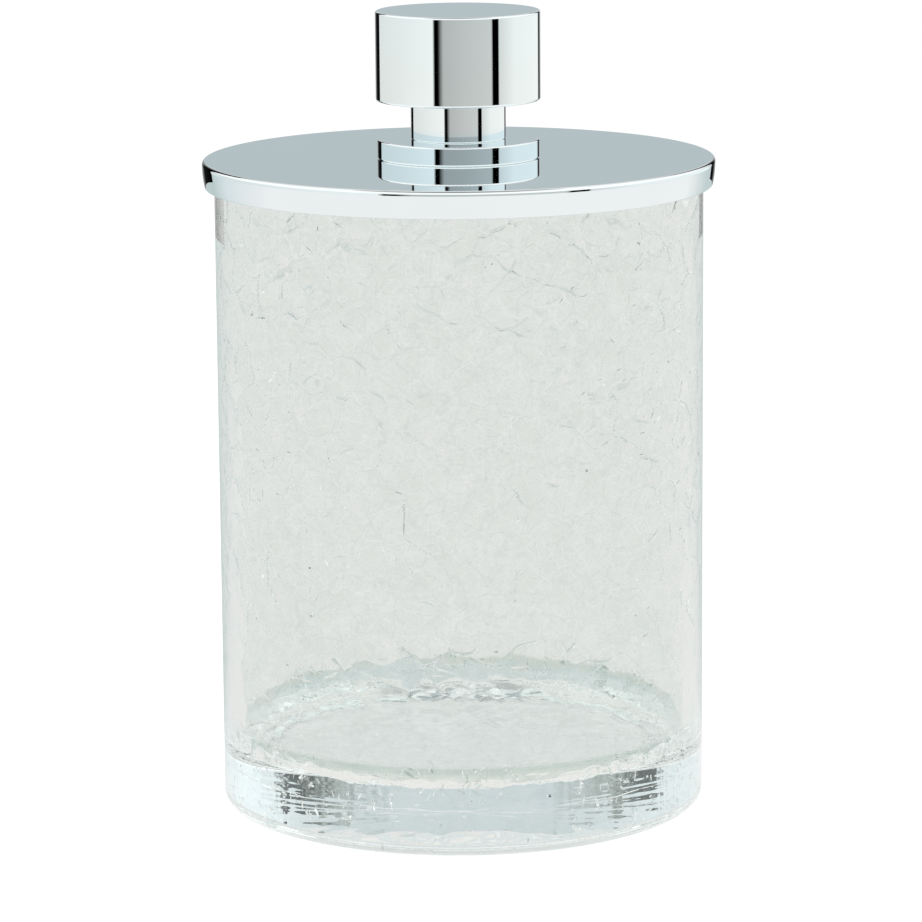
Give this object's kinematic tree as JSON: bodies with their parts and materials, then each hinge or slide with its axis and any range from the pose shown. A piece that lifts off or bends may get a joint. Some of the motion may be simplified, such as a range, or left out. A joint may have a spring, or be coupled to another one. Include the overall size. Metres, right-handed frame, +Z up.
{
  "type": "lidded glass jar",
  "caption": "Straight-sided crackled-glass jar with a thick base and a chrome lift-off lid with a flat cylindrical knob.",
  "frame": {"origin": "centre of the ring that the jar stands on, in the plane of the table", "axes": "+Z up, along the common axis of the jar and the lid; X and Y are free, because every piece but the nut and the spring washer is turned about Z"},
  "size_m": [0.1122, 0.1122, 0.1755],
  "materials": {
    "crackled_glass": "clear glass, smooth outside, crackled inside, very faintly green",
    "lid_chrome": "polished chrome plate",
    "knob_chrome": "polished chrome plate on turned metal",
    "liner_plastic": "satin moulded white plastic",
    "seal_silicone": "translucent milky silicone",
    "fastener_steel": "zinc-plated steel"
  },
  "bodies": {
    "jar": {"glass_jar": "crackled_glass"},
    "seal": {"seal_ring": "seal_silicone"},
    "lid": {"lid_plate": "lid_chrome", "lid_liner": "liner_plastic", "knob_flange": "knob_chrome", "knob_neck": "knob_chrome", "knob_cap": "knob_chrome", "knob_stud": "fastener_steel", "flat_washer": "fastener_steel", "spring_washer": "fastener_steel", "hex_nut": "fastener_steel"}
  },
  "joints": [
    {"name": "lid_lift", "type": "slide", "parent": "jar", "child": "seal", "axis": [0, 0, 1], "range_m": [0, 0.06]},
    {"name": "lid_turn", "type": "hinge", "parent": "seal", "child": "lid", "pos_m": [0, 0, 0.14], "axis": [0, 0, 1], "continuous": true}
  ]
}
